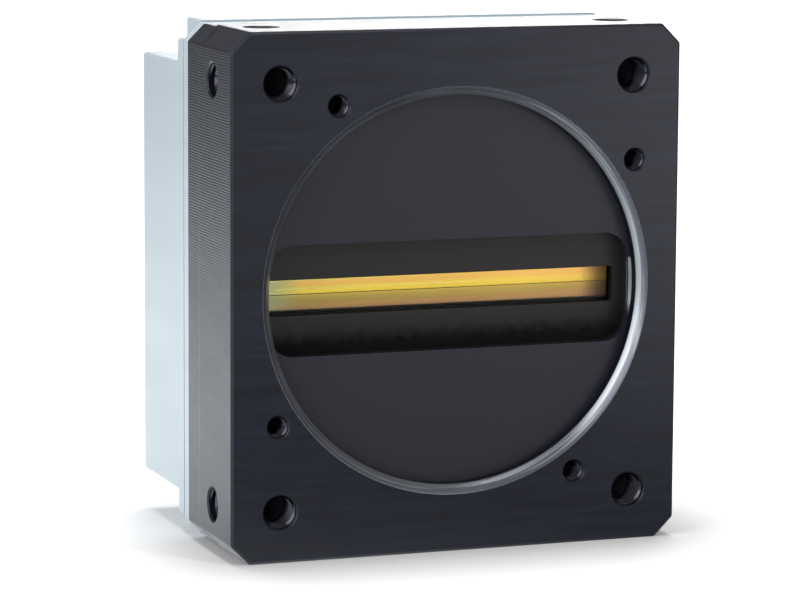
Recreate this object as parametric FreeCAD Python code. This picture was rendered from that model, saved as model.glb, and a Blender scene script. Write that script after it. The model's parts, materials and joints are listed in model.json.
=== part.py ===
import FreeCAD, Part
import math
import os

# Line-scan machine vision camera. Millimetres.
# Design frame: X across the front, Y from the front face into the camera, Z up,
# all measured from the optical axis on the front face. HOME moves every node so that
# the origin is the centre of the bottom face of the bounding box.

V = FreeCAD.Vector
BACKWARD = V(0, 1, 0)
FORWARD = V(0, -1, 0)

# Overall sizes
WIDTH = 56.0
HEIGHT = 62.0
MODULE_BACK = 17.0
FRAME_BACK = 19.6
FLANGE_BACK = 21.8
BODY_BACK = 36.7
OVERALL_LENGTH = 42.0
HOME = V(0, -OVERALL_LENGTH / 2, HEIGHT / 2)

# Front module
CORNER_CUT = 2.3
BAND_CUT = 2.0
CORNER_ROUND = 0.5
EDGE_BREAK = 0.3
STEP_Y = 12.4
SIDE_INSET = 0.06
END_INSET = 0.2
RECESS_R = 23.1
RECESS_CHAMFER = 1.1
RECESS_DEPTH = 2.5
POCKET_HALF_W = 22.6
POCKET_LOW = -7.2
POCKET_HIGH = 5.95
POCKET_ROUND = 3.0
POCKET_FLOOR = 4.2
SLOT_LEFT = -22.3
SLOT_RIGHT = 21.35
SLOT_LOW = -2.6
SLOT_HIGH = 1.7
SEAT_Y = 5.2
SEAT_HALF_W = 26.2
SEAT_HALF_H = 4.6
CAVITY_Y = 8.4
CAVITY_HALF_W = 21.6
CAVITY_HALF_H = 23.0

# Threaded holes: radius of the wall, radius of the mouth, depth
M4 = (2.0, 2.2)
M25 = (1.25, 1.45)
M2 = (1.0, 1.1)
FRONT_M4_X = 22.0
FRONT_M4_Z = 25.0
FRONT_M4_DEPTH = 4.8
SIDE_M4_Y = 7.3
RIGHT_M4_Y = 8.0
SIDE_M4_DEPTH = 3.8
LENS_SCREW_R = 26.8
LENS_SCREW_ANGLE = 33.8
LENS_SCREW_DEPTH = 4.5

# Clamp frame and rear housing
LAND_HALF_W = 25.4
LAND_BACK = 25.6
CHEEK_HALF_W = 27.7
CHEEK_HALF_H = 28.8
BODY_HALF_H = 26.0
FRAME_OPEN_W = 23.4
FRAME_OPEN_H = 24.5
WEB_Y = 18.0
WEB_HALF_H = 9.0
JOINT_BEVEL = 0.14
WALL_BACK = 2.2
HOUSING_HALF_IN_W = 24.9
HOUSING_HALF_IN_H = 23.4
HOUSING_SCREW_X = 22.4
HOUSING_SCREW_Z = 28.5
HOUSING_SCREW_TIP = 11.8

# Sensor
GLASS_BACK = 5.9
DIE_Y = 6.56
DIE_BACK = 7.1
DIE_HALF_W = 21.66
DIE_LOW = -2.25
DIE_HIGH = 1.3
PACKAGE_BACK = 8.9
PIN_ROW_Z = 3.3
PIN_PITCH = 2.54
PIN_COUNT = 16
PIN_SIDE = 0.5

# Boards
BOARD_HALF_W = 21.2
BOARD_HALF_H = 22.6
BOARD_ROUND = 2.8
SENSOR_BOARD = (10.0, 11.2)
PROCESSOR_BOARD = (14.6, 16.2)
INTERFACE_BOARD = (22.4, 24.0)
STACK_X = 18.0
STACK_Z = 19.5
POST_X = 21.5
POST_Z = 20.0

# Connectors on the back
JACK_Z = -11.5
JACK_HALF_W = 8.05
JACK_HALF_H = 6.8
JACK_BACK = 37.4
JACK_LOCK_X = 13.4
ROUND_Z = 9.5
POWER_X = -12.8
AUX_X = 13.2
GUIDE_Z = 19.0


def block(x0, x1, y0, y1, z0, z1):
    """Box between two opposite corners."""
    return Part.makeBox(x1 - x0, y1 - y0, z1 - z0, V(x0, y0, z0))


def rod(x, z, r, y0, y1):
    """Round bar along Y."""
    return Part.makeCylinder(r, y1 - y0, V(x, y0, z), BACKWARD)


def prism(points, y0, y1):
    """Polygon in X and Z, drawn out along Y."""
    corners = [V(x, y0, z) for x, z in points]
    face = Part.Face(Part.makePolygon(corners + [corners[0]]))
    return face.extrude(V(0, y1 - y0, 0))


def side_prism(points, x0, x1):
    """Polygon in Y and Z, drawn out along X."""
    corners = [V(x0, y, z) for y, z in points]
    face = Part.Face(Part.makePolygon(corners + [corners[0]]))
    return face.extrude(V(x1 - x0, 0, 0))


def turned(profile, at, axis):
    """Turned part: (radius, distance along the axis) points spun about the axis through at."""
    corners = [V(r, 0, a) for r, a in profile]
    face = Part.Face(Part.makePolygon(corners + [corners[0]]))
    solid = face.revolve(V(0, 0, 0), V(0, 0, 1), 360)
    solid.Placement = FreeCAD.Placement(at, FreeCAD.Rotation(V(0, 0, 1), axis))
    return solid


def along_y(edge):
    """True for a straight edge parallel to Y."""
    a = edge.Vertexes[0].Point
    b = edge.Vertexes[-1].Point
    return abs(a.x - b.x) < 1e-6 and abs(a.z - b.z) < 1e-6


def rounded(solid, r):
    """Solid with all its edges parallel to Y rounded."""
    return solid.makeFillet(r, [e for e in solid.Edges if along_y(e)])


def slab(half_w, half_h, r, y0, y1, x=0.0, z=0.0):
    """Plate across Y with four rounded corners."""
    return rounded(block(x - half_w, x + half_w, y0, y1, z - half_h, z + half_h), r)


def bevelled(solid, y, size):
    """Solid with the outline of its face at Y = y bevelled."""
    edges = []
    for edge in solid.Edges:
        if all(abs(v.Point.y - y) < 1e-6 for v in edge.Vertexes):
            edges.append(edge)
    return solid.makeChamfer(size, edges)


def fused(parts):
    """Union of a list of solids as one clean solid."""
    first = parts[0]
    return first.fuse(parts[1:]).removeSplitter()


def cut(solid, tools):
    """Solid less a list of tools."""
    return solid.cut(tools).removeSplitter()


def mirrored_places(x, z):
    """The four places at plus and minus x and z."""
    return [(i * x, j * z) for i in (-1, 1) for j in (-1, 1)]


def tapped(at, inward, size, depth):
    """Tool for a blind tapped hole: countersunk mouth, wall and drill point."""
    r, mouth = size
    lip = mouth - r
    point = r / math.tan(math.radians(59))
    profile = [(0, -1), (mouth, -1), (mouth, 0), (r, lip), (r, depth), (0, depth + point)]
    return turned(profile, at, inward)


# ---- Front module ----


def cut_corner_plate(w, h, c, r, y0, y1):
    """Plate across Y with its corners cut at 45 degrees and the cuts' edges rounded."""
    points = [(w - c, h), (w, h - c), (w, c - h), (w - c, -h), (c - w, -h), (-w, c - h), (-w, h - c), (c - w, h)]
    return rounded(prism(points, y0, y1), r)


def module_blank():
    """Outside of the module: corners cut at 45 degrees, thinner band at the back."""
    front = cut_corner_plate(WIDTH / 2, HEIGHT / 2, CORNER_CUT, CORNER_ROUND, 0, STEP_Y)
    front = bevelled(front, 0, EDGE_BREAK)
    w = WIDTH / 2 - SIDE_INSET
    h = HEIGHT / 2 - END_INSET
    band = cut_corner_plate(w, h, BAND_CUT, CORNER_ROUND, STEP_Y - 1, MODULE_BACK)
    return fused([front, band])


def recess_tools():
    """Lens recess with its chamfer, sensor pocket in its floor, slot through to the seat."""
    mouth = RECESS_R + RECESS_CHAMFER
    lens = turned(
        [(0, -1), (mouth, -1), (mouth, 0), (RECESS_R, RECESS_CHAMFER), (RECESS_R, RECESS_DEPTH), (0, RECESS_DEPTH)],
        V(0, 0, 0),
        BACKWARD,
    )
    middle = (POCKET_LOW + POCKET_HIGH) / 2
    half = (POCKET_HIGH - POCKET_LOW) / 2
    pocket = slab(POCKET_HALF_W, half, POCKET_ROUND, RECESS_DEPTH - 1, POCKET_FLOOR, 0, middle)
    slot_middle = (SLOT_LOW + SLOT_HIGH) / 2
    slot_half = (SLOT_HIGH - SLOT_LOW) / 2
    slot_half_w = (SLOT_RIGHT - SLOT_LEFT) / 2
    slot_x = (SLOT_RIGHT + SLOT_LEFT) / 2
    slot = slab(slot_half_w, slot_half, 0.4, POCKET_FLOOR - 1, SEAT_Y + 1, slot_x, slot_middle)
    return [lens, pocket, slot]


def module_hole_tools():
    """Every tapped hole of the module."""
    tools = []
    for x, z in mirrored_places(FRONT_M4_X, FRONT_M4_Z):
        tools.append(tapped(V(x, 0, z), BACKWARD, M4, FRONT_M4_DEPTH))
    for quarter in range(4):
        angle = math.radians(LENS_SCREW_ANGLE + 90 * quarter)
        place = V(LENS_SCREW_R * math.cos(angle), 0, LENS_SCREW_R * math.sin(angle))
        tools.append(tapped(place, BACKWARD, M25, LENS_SCREW_DEPTH))
    for side in (-1, 1):
        for end in (-1, 1):
            flank_y = SIDE_M4_Y if side < 0 else RIGHT_M4_Y
            flank = V(side * WIDTH / 2, flank_y, end * FRONT_M4_Z)
            tools.append(tapped(flank, V(-side, 0, 0), M4, SIDE_M4_DEPTH))
            top = V(end * FRONT_M4_X, SIDE_M4_Y, side * HEIGHT / 2)
            tools.append(tapped(top, V(0, 0, -side), M4, SIDE_M4_DEPTH))
    for x, z in mirrored_places(HOUSING_SCREW_X, HOUSING_SCREW_Z):
        tools.append(tapped(V(x, MODULE_BACK, z), FORWARD, M25, MODULE_BACK - HOUSING_SCREW_TIP))
    return tools


def front_module():
    """The black milled block that carries lens adapter, sensor and mounting threads."""
    block_ = cut(module_blank(), recess_tools())
    seat = slab(SEAT_HALF_W, SEAT_HALF_H, 1.0, SEAT_Y, MODULE_BACK + 1)
    cavity = slab(CAVITY_HALF_W, CAVITY_HALF_H, 3.0, CAVITY_Y, MODULE_BACK + 1)
    block_ = cut(block_, [seat, cavity])
    places = mirrored_places(STACK_X, STACK_Z)
    bosses = [rod(x, z, 2.6, CAVITY_Y - 1, SENSOR_BOARD[0]) for x, z in places]
    block_ = fused([block_] + bosses)
    boss_holes = [tapped(V(x, SENSOR_BOARD[0], z), FORWARD, M2, 3.2) for x, z in places]
    return cut(block_, module_hole_tools() + boss_holes)


# ---- Sensor ----


def sensor_glass():
    """Cover glass of the sensor, seated behind the slot."""
    return slab(24.2, 3.6, 0.4, SEAT_Y, GLASS_BACK)


def sensor_package():
    """Ceramic body with the open tray that holds the die."""
    body = slab(25.9, 4.3, 0.6, GLASS_BACK, PACKAGE_BACK)
    tray = slab(23.2, 2.6, 0.4, GLASS_BACK - 1, DIE_BACK)
    return cut(body, [tray])


def sensor_die():
    """Long silicon die with its light-sensitive row."""
    return block(-DIE_HALF_W, DIE_HALF_W, DIE_Y, DIE_BACK, DIE_LOW, DIE_HIGH)


def pin_places():
    """Centres of the sensor's pins, two rows."""
    start = -PIN_PITCH * (PIN_COUNT - 1) / 2
    return [(start + PIN_PITCH * i, row) for row in (-PIN_ROW_Z, PIN_ROW_Z) for i in range(PIN_COUNT)]


def square_pins(y0, y1):
    """Square pins of the sensor between two depths."""
    h = PIN_SIDE / 2
    return [block(x - h, x + h, y0, y1, z - h, z + h) for x, z in pin_places()]


def sensor_pins():
    """Two rows of pins, from the package through the sensor board."""
    return Part.makeCompound(square_pins(PACKAGE_BACK, SENSOR_BOARD[1] + 0.6))


# ---- Boards ----


def circuit_board(span, half_w, half_h, places, hole_r):
    """Board with rounded corners and a screw hole at each place."""
    plate = slab(half_w, half_h, BOARD_ROUND, span[0], span[1])
    return cut(plate, [rod(x, z, hole_r, span[0] - 1, span[1] + 1) for x, z in places])


def sensor_board():
    """Board behind the sensor, with the holes for its pins."""
    plate = circuit_board(SENSOR_BOARD, BOARD_HALF_W, BOARD_HALF_H, mirrored_places(STACK_X, STACK_Z), M2[0])
    return cut(plate, square_pins(SENSOR_BOARD[0] - 1, SENSOR_BOARD[1] + 1))


def lead_chip(x, z, y_face, side, height, leads):
    """Flat chip with bent leads on its two long sides, standing on the face at y_face."""
    half = side / 2
    parts = [slab(half, half, 0.3, y_face + 0.1, y_face + height, x, z)]
    pitch = side / (leads + 1)
    for i in range(leads):
        at = z - half + pitch * (i + 1)
        for sign in (-1, 1):
            inner = x + sign * (half - 0.2)
            foot = x + sign * (half + 0.9)
            knee = x + sign * (half + 0.45)
            mid = y_face + height * 0.55
            points = [(inner, mid), (knee, mid), (knee, y_face), (foot, y_face), (foot, y_face + 0.2)]
            points += [(knee + sign * 0.2, y_face + 0.2), (knee + sign * 0.2, mid + 0.2), (inner, mid + 0.2)]
            corners = [V(px, py, at - 0.18) for px, py in points]
            face = Part.Face(Part.makePolygon(corners + [corners[0]]))
            parts.append(face.extrude(V(0, 0, 0.36)))
    return fused(parts)


def converter_chips():
    """Converter chips on the back of the sensor board."""
    chips = []
    for x in (-14.0, -4.6, 4.6, 14.0):
        chips.append(lead_chip(x, -11.0, SENSOR_BOARD[1], 5.6, 1.3, 6))
    return Part.makeCompound(chips)


def hexagon(across, x, z):
    """Corners of a hexagon by its size across the flats."""
    r = across / math.sqrt(3)
    return [(x + r * math.cos(math.radians(60 * i)), z + r * math.sin(math.radians(60 * i))) for i in range(6)]


def standoffs():
    """Hexagonal spacers, their studs clamping the sensor board to the module."""
    parts = []
    for x, z in mirrored_places(STACK_X, STACK_Z):
        body = prism(hexagon(4.0, x, z), SENSOR_BOARD[1], PROCESSOR_BOARD[0])
        stud = rod(x, z, M2[0], 7.6, SENSOR_BOARD[1])
        spacer = fused([body, stud])
        parts.append(cut(spacer, [tapped(V(x, PROCESSOR_BOARD[0], z), FORWARD, M2, 2.6)]))
    return Part.makeCompound(parts)


def pan_screw(x, z, seat, tip, toward, r, head_r, head_h):
    """Cross-slotted pan head screw: head on the plane at seat, shank ending at tip."""
    out = V(0, toward, 0)
    crown = head_r * 0.72
    head = turned([(0, 0), (head_r, 0), (head_r, head_h * 0.55), (crown, head_h), (0, head_h)], V(x, seat, z), out)
    shank = rod(x, z, r, min(seat, tip), max(seat, tip))
    far = seat + toward * (head_h + 1)
    near = seat + toward * head_h * 0.45
    y0 = min(far, near)
    y1 = max(far, near)
    arm = head_r * 0.58
    slots = [block(x - arm, x + arm, y0, y1, z - 0.18, z + 0.18), block(x - 0.18, x + 0.18, y0, y1, z - arm, z + arm)]
    return cut(fused([head, shank]), slots)


def stack_screws():
    """Screws that hold the processor board on the standoffs."""
    back = PROCESSOR_BOARD[1]
    tip = PROCESSOR_BOARD[0] - 2.2
    places = mirrored_places(STACK_X, STACK_Z)
    return Part.makeCompound([pan_screw(x, z, back, tip, 1, M2[0], 1.9, 1.2) for x, z in places])


def processor_board():
    """Board with the logic chip."""
    return circuit_board(PROCESSOR_BOARD, BOARD_HALF_W, BOARD_HALF_H, mirrored_places(STACK_X, STACK_Z), M2[0])


def logic_chip():
    """Ball grid chip: substrate and a smaller lid."""
    y = PROCESSOR_BOARD[1]
    return fused([slab(9.5, 9.5, 0.3, y, y + 0.6), slab(7.5, 7.5, 0.5, y + 0.6, WEB_Y - 0.6)])


def thermal_pad():
    """Soft pad between the logic chip and the web of the clamp frame."""
    return slab(7.2, 7.2, 0.5, WEB_Y - 0.6, WEB_Y)


def memory_chips():
    """Memory on both sides of the logic chip."""
    y = PROCESSOR_BOARD[1]
    return Part.makeCompound([slab(3.6, 5.4, 0.2, y, y + 1.1, x, 0) for x in (-15.6, 15.6)])


def passives(y_face, toward, columns, rows):
    """Small two-ended parts: body and two end caps, in a grid."""
    parts = []
    for x in columns:
        for z in rows:
            y0 = min(y_face, y_face + toward * 0.9)
            y1 = max(y_face, y_face + toward * 0.9)
            body = block(x - 0.7, x + 0.7, y0, y1, z - 0.6, z + 0.6)
            cap = 0.08
            ends = [block(x - 1.0, x - 0.6, y0, y1 + cap, z - 0.68, z + 0.68)]
            ends.append(block(x + 0.6, x + 1.0, y0, y1 + cap, z - 0.68, z + 0.68))
            parts.append(fused([body] + ends))
    return Part.makeCompound(parts)


def processor_parts():
    """Capacitors beside the logic chip."""
    return passives(PROCESSOR_BOARD[1], 1, (-9.0, -5.4, -1.8, 1.8, 5.4, 9.0), (-12.4, 12.4))


def board_link(x, z, half_w, y0, y1):
    """Plug with a tongue and the socket round it, joining two boards."""
    middle = (y0 + y1) / 2
    plug = fused([block(x - half_w, x + half_w, y0, middle, z - 2.2, z + 2.2),
                  block(x - half_w + 1, x + half_w - 1, middle, y1 - 0.6, z - 0.8, z + 0.8)])
    socket = block(x - half_w, x + half_w, middle, y1, z - 2.2, z + 2.2)
    socket = cut(socket, [block(x - half_w + 1, x + half_w - 1, middle, y1 - 0.6, z - 0.8, z + 0.8)])
    return plug, socket


def interface_board():
    """Board that carries every connector of the back."""
    return circuit_board(INTERFACE_BOARD, 24.2, 22.8, mirrored_places(POST_X, POST_Z), M2[0])


def interface_screws():
    """Screws that hold the interface board on the posts of the housing."""
    seat = INTERFACE_BOARD[0]
    places = mirrored_places(POST_X, POST_Z)
    return Part.makeCompound([pan_screw(x, z, seat, seat + 5.0, -1, M2[0], 1.9, 1.2) for x, z in places])


def power_parts():
    """Coils and capacitors of the supply, on the back of the interface board."""
    y = INTERFACE_BOARD[1]
    coils = []
    for z in (-18.0, -10.0):
        base = slab(3.0, 3.0, 0.8, y, y + 1.0, -16.0, z)
        coils.append(fused([base, rod(-16.0, z, 2.7, y + 1.0, y + 3.2)]))
    cans = [rod(16.5, z, 2.5, y, y + 5.4) for z in (-17.0, -9.5)]
    return Part.makeCompound(coils + cans)


# ---- Clamp frame and rear housing ----


def frame_outline(y0, y1, inset=0.0):
    """Outline of the frame, its corners cut like the module's."""
    w = CHEEK_HALF_W - inset
    h = HEIGHT / 2 - END_INSET - inset
    return cut_corner_plate(w, h, BAND_CUT, 0.2, y0, y1)


def flange_outline(y0, y1, inset=0.0):
    """Outline of the flange: narrow land full height, wider cheeks less high."""
    land = slab(LAND_HALF_W - inset, HEIGHT / 2 - inset, 0.3, y0, y1)
    cheeks = slab(CHEEK_HALF_W - inset, CHEEK_HALF_H - inset, 0.4, y0, y1)
    return fused([land, cheeks])


def screw_passages(y0, y1):
    """Clearance holes of the housing screws."""
    places = mirrored_places(HOUSING_SCREW_X, HOUSING_SCREW_Z)
    return [rod(x, z, 1.4, y0 - 1, y1 + 1) for x, z in places]


def clamp_frame():
    """Silver frame between module and housing; its web draws heat from the logic chip."""
    body = fused([frame_outline(MODULE_BACK, FRAME_BACK - JOINT_BEVEL),
                  frame_outline(FRAME_BACK - JOINT_BEVEL, FRAME_BACK, JOINT_BEVEL)])
    window = slab(FRAME_OPEN_W, FRAME_OPEN_H, 3.0, MODULE_BACK - 1, FRAME_BACK + 1)
    body = cut(body, [window])
    web = block(-FRAME_OPEN_W - 1, FRAME_OPEN_W + 1, WEB_Y, FRAME_BACK, -WEB_HALF_H, WEB_HALF_H)
    return cut(fused([body, web]), screw_passages(MODULE_BACK, FRAME_BACK))


def housing_posts():
    """Posts from the back wall to the interface board."""
    return [rod(x, z, 2.4, INTERFACE_BOARD[1], BODY_BACK - 1) for x, z in mirrored_places(POST_X, POST_Z)]


def housing_tools():
    """Openings of the back wall: jack, its lock threads, two round receptacles, light guide."""
    inner = BODY_BACK - WALL_BACK - 1
    outer = BODY_BACK + 1
    clear = 0.15
    w = JACK_HALF_W + clear
    h = JACK_HALF_H + clear
    tools = [block(-w, w, inner, outer, JACK_Z - h, JACK_Z + h)]
    tools.append(rod(POWER_X, ROUND_Z, 6.05, inner, outer))
    tools.append(rod(AUX_X, ROUND_Z, 4.65, inner, outer))
    tools.append(rod(0, GUIDE_Z, 1.5, inner, outer))
    for x in (-JACK_LOCK_X, JACK_LOCK_X):
        tools.append(tapped(V(x, BODY_BACK, JACK_Z), FORWARD, M2, 4.0))
    for x, z in mirrored_places(POST_X, POST_Z):
        tools.append(tapped(V(x, INTERFACE_BOARD[1], z), BACKWARD, M2, 5.0))
    return tools


def rear_housing():
    """Silver housing: flange with deep screw lands, stepped body, posts and connector openings."""
    flange = fused([flange_outline(FRAME_BACK, FRAME_BACK + JOINT_BEVEL, JOINT_BEVEL),
                    flange_outline(FRAME_BACK + JOINT_BEVEL, FLANGE_BACK)])
    lands = slab(LAND_HALF_W, HEIGHT / 2, 0.3, FRAME_BACK + 1, LAND_BACK)
    body = slab(CHEEK_HALF_W, BODY_HALF_H, 0.4, FRAME_BACK + 1, BODY_BACK)
    body = bevelled(body, BODY_BACK, 0.3)
    shell = fused([flange, lands, body])
    hollow = slab(HOUSING_HALF_IN_W, HOUSING_HALF_IN_H, 2.5, FRAME_BACK - 1, BODY_BACK - WALL_BACK)
    shell = cut(shell, [hollow])
    lock_bosses = [rod(x, JACK_Z, 2.2, BODY_BACK - 5.6, BODY_BACK - 1) for x in (-JACK_LOCK_X, JACK_LOCK_X)]
    shell = fused([shell] + housing_posts() + lock_bosses)
    return cut(shell, housing_tools() + screw_passages(FRAME_BACK, LAND_BACK))


def housing_screws():
    """Socket head screws on the lands, through flange and frame into the module."""
    screws = []
    for x, z in mirrored_places(HOUSING_SCREW_X, HOUSING_SCREW_Z):
        tip = HOUSING_SCREW_TIP - LAND_BACK
        profile = [(0, tip), (1.05, tip), (M25[0], tip + 0.3), (M25[0], 0), (2.2, 0)]
        profile += [(2.2, 2.2), (1.95, 2.5), (0, 2.5)]
        screw = turned(profile, V(x, LAND_BACK, z), BACKWARD)
        socket = prism(hexagon(2.0, x, z), LAND_BACK + 1.2, LAND_BACK + 3)
        screws.append(cut(screw, [socket]))
    return Part.makeCompound(screws)


# ---- Network jack ----


def jack_shield():
    """Folded shield with its collar at the opening."""
    y0 = INTERFACE_BOARD[1]
    outer = block(-JACK_HALF_W, JACK_HALF_W, y0, JACK_BACK, JACK_Z - JACK_HALF_H, JACK_Z + JACK_HALF_H)
    t = 0.25
    inner = block(t - JACK_HALF_W, JACK_HALF_W - t, y0 - 1, JACK_BACK + 1, JACK_Z - JACK_HALF_H + t, JACK_Z + JACK_HALF_H - t)
    return cut(outer, [inner])


def jack_insert():
    """Insulator with the socket, its latch groove and the comb that guides the contacts."""
    y0 = INTERFACE_BOARD[1]
    w = JACK_HALF_W - 0.25
    h = JACK_HALF_H - 0.25
    body = block(-w, w, y0, JACK_BACK - 0.3, JACK_Z - h, JACK_Z + h)
    floor = JACK_BACK - 11.0
    back = JACK_BACK + 1
    socket = block(-5.9, 5.9, floor, back, JACK_Z - 2.6, JACK_Z + 4.3)
    latch = block(-3.2, 3.2, floor, back, JACK_Z - 4.3, JACK_Z - 2.6)
    notch = block(-1.7, 1.7, floor, back, JACK_Z - 5.5, JACK_Z - 4.3)
    grooves = [block(x - 0.25, x + 0.25, floor, back - 2.4, JACK_Z + 4.3, JACK_Z + 5.5) for x in contact_places()]
    tails = [block(x - 0.175, x + 0.175, y0 - 1, floor + 1, JACK_Z + 4.7, JACK_Z + 5.05) for x in contact_places()]
    return cut(body, [socket, latch, notch] + grooves + tails)


def contact_places():
    """Positions across the jack of its eight contacts."""
    return [1.02 * (i - 3.5) for i in range(8)]


def jack_contacts():
    """Sprung wires: tail to the board, run in the comb, bent back into the socket."""
    y0 = INTERFACE_BOARD[1]
    high = JACK_Z + 5.05
    low = JACK_Z + 4.7
    turn = JACK_BACK - 2.2
    points = [(y0, high), (turn, high), (turn + 0.25, JACK_Z + 4.6), (turn - 6.5, JACK_Z + 1.7)]
    points += [(turn - 6.7, JACK_Z + 2.05), (turn - 0.5, low), (y0, low)]
    return Part.makeCompound([side_prism(points, x - 0.175, x + 0.175) for x in contact_places()])


# ---- Round receptacles ----


def round_shell(x, body_r, bore_r, flange_r):
    """Receptacle shell: threaded body, panel flange, mating barrel with its inner key."""
    profile = [(bore_r, -6.5), (body_r - 0.2, -6.5), (body_r, -6.2), (body_r, 0), (flange_r, 0), (flange_r, 1.3)]
    profile += [(flange_r - 0.3, 1.6), (body_r - 0.1, 1.6), (body_r - 0.1, 2.4), (body_r - 0.5, 2.7)]
    profile += [(body_r - 0.5, 3.5), (body_r - 0.1, 3.8), (body_r - 0.1, 5.0), (body_r - 0.4, 5.3)]
    profile += [(bore_r + 0.2, 5.3), (bore_r, 5.1)]
    shell = turned(profile, V(x, BODY_BACK, ROUND_Z), BACKWARD)
    top = ROUND_Z + bore_r
    key = block(x - 0.6, x + 0.6, BODY_BACK - 1.0, BODY_BACK + 4.6, top - 0.55, top + 0.2)
    return fused([shell, key])


def pole_places(x, rings):
    """Centres of the contacts: count and radius of each ring."""
    places = []
    for count, radius in rings:
        for i in range(count):
            angle = math.radians(90 + 360 * (i + 0.5) / count)
            places.append((x + radius * math.cos(angle), ROUND_Z + radius * math.sin(angle)))
    return places


def round_insert(x, bore_r, rings):
    """Insulator that fills the shell behind the contacts' free ends."""
    profile = [(0, -7.5), (bore_r, -7.5), (bore_r, -1.2), (bore_r - 0.2, -1.0), (0, -1.0)]
    body = turned(profile, V(x, BODY_BACK, ROUND_Z), BACKWARD)
    holes = [rod(px, pz, 0.4, BODY_BACK - 8, BODY_BACK) for px, pz in pole_places(x, rings)]
    return cut(body, holes)


def round_pins(x, rings):
    """Contacts from the interface board to the barrel, with rounded-off tips."""
    pins = []
    length = BODY_BACK + 3.6 - INTERFACE_BOARD[1]
    for px, pz in pole_places(x, rings):
        profile = [(0, 0), (0.4, 0), (0.4, length - 0.3), (0.2, length), (0, length)]
        pins.append(turned(profile, V(px, INTERFACE_BOARD[1], pz), BACKWARD))
    return Part.makeCompound(pins)


def panel_nut(x, body_r, across):
    """Hexagon nut on the shell's body, against the inside of the back wall."""
    inside = BODY_BACK - WALL_BACK
    nut = prism(hexagon(across, x, ROUND_Z), inside - 1.8, inside)
    return cut(nut, [rod(x, ROUND_Z, body_r, inside - 3, inside + 1)])


POWER_RINGS = [(9, 3.2), (3, 1.15)]
AUX_RINGS = [(5, 2.1), (1, 0.0)]


def light_guide():
    """Clear guide from the status light to the back face, with a collar inside the wall."""
    inside = BODY_BACK - WALL_BACK
    start = INTERFACE_BOARD[1] + 0.8
    profile = [(0, start), (1.5, start), (1.5, inside - 1.0), (2.2, inside - 1.0), (2.2, inside), (1.5, inside)]
    profile += [(1.5, BODY_BACK), (1.2, BODY_BACK + 0.25), (0, BODY_BACK + 0.25)]
    return turned(profile, V(0, 0, GUIDE_Z), BACKWARD)


def status_light():
    """Small light chip on the interface board, under the guide."""
    y = INTERFACE_BOARD[1]
    return fused([block(-0.8, 0.8, y, y + 0.3, GUIDE_Z - 0.5, GUIDE_Z + 0.5),
                  block(-0.5, 0.5, y + 0.3, y + 0.8, GUIDE_Z - 0.5, GUIDE_Z + 0.5)])


def all_nodes():
    """Every node by name, in the design frame."""
    front_plug, front_socket = board_link(0, 15.0, 9.0, SENSOR_BOARD[1], PROCESSOR_BOARD[0])
    back_plug, back_socket = board_link(0, 18.4, 9.0, PROCESSOR_BOARD[1], INTERFACE_BOARD[0])
    return {
        "front_module": front_module(),
        "sensor_glass": sensor_glass(),
        "sensor_package": sensor_package(),
        "sensor_die": sensor_die(),
        "sensor_pins": sensor_pins(),
        "sensor_board": sensor_board(),
        "converter_chips": converter_chips(),
        "standoffs": standoffs(),
        "stack_screws": stack_screws(),
        "processor_board": processor_board(),
        "logic_chip": logic_chip(),
        "thermal_pad": thermal_pad(),
        "memory_chips": memory_chips(),
        "processor_parts": processor_parts(),
        "front_link_plug": front_plug,
        "front_link_socket": front_socket,
        "back_link_plug": back_plug,
        "back_link_socket": back_socket,
        "interface_board": interface_board(),
        "interface_screws": interface_screws(),
        "power_parts": power_parts(),
        "clamp_frame": clamp_frame(),
        "rear_housing": rear_housing(),
        "housing_screws": housing_screws(),
        "jack_shield": jack_shield(),
        "jack_insert": jack_insert(),
        "jack_contacts": jack_contacts(),
        "power_shell": round_shell(POWER_X, 6.0, 4.9, 7.2),
        "power_insert": round_insert(POWER_X, 4.9, POWER_RINGS),
        "power_pins": round_pins(POWER_X, POWER_RINGS),
        "power_nut": panel_nut(POWER_X, 6.0, 14.4),
        "aux_shell": round_shell(AUX_X, 4.6, 3.6, 5.8),
        "aux_insert": round_insert(AUX_X, 3.6, AUX_RINGS),
        "aux_pins": round_pins(AUX_X, AUX_RINGS),
        "aux_nut": panel_nut(AUX_X, 4.6, 11.4),
        "light_guide": light_guide(),
        "status_light": status_light(),
    }


def main():
    """Build every node, move it home and write it."""
    os.makedirs("parts", exist_ok=True)
    for name, shape in all_nodes().items():
        shape.translate(HOME)
        shape.exportStep("parts/" + name + ".step")


main()
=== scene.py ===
import json
import logging
import math
from dataclasses import dataclass
from enum import Enum
from typing import Iterable, Sequence

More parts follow.
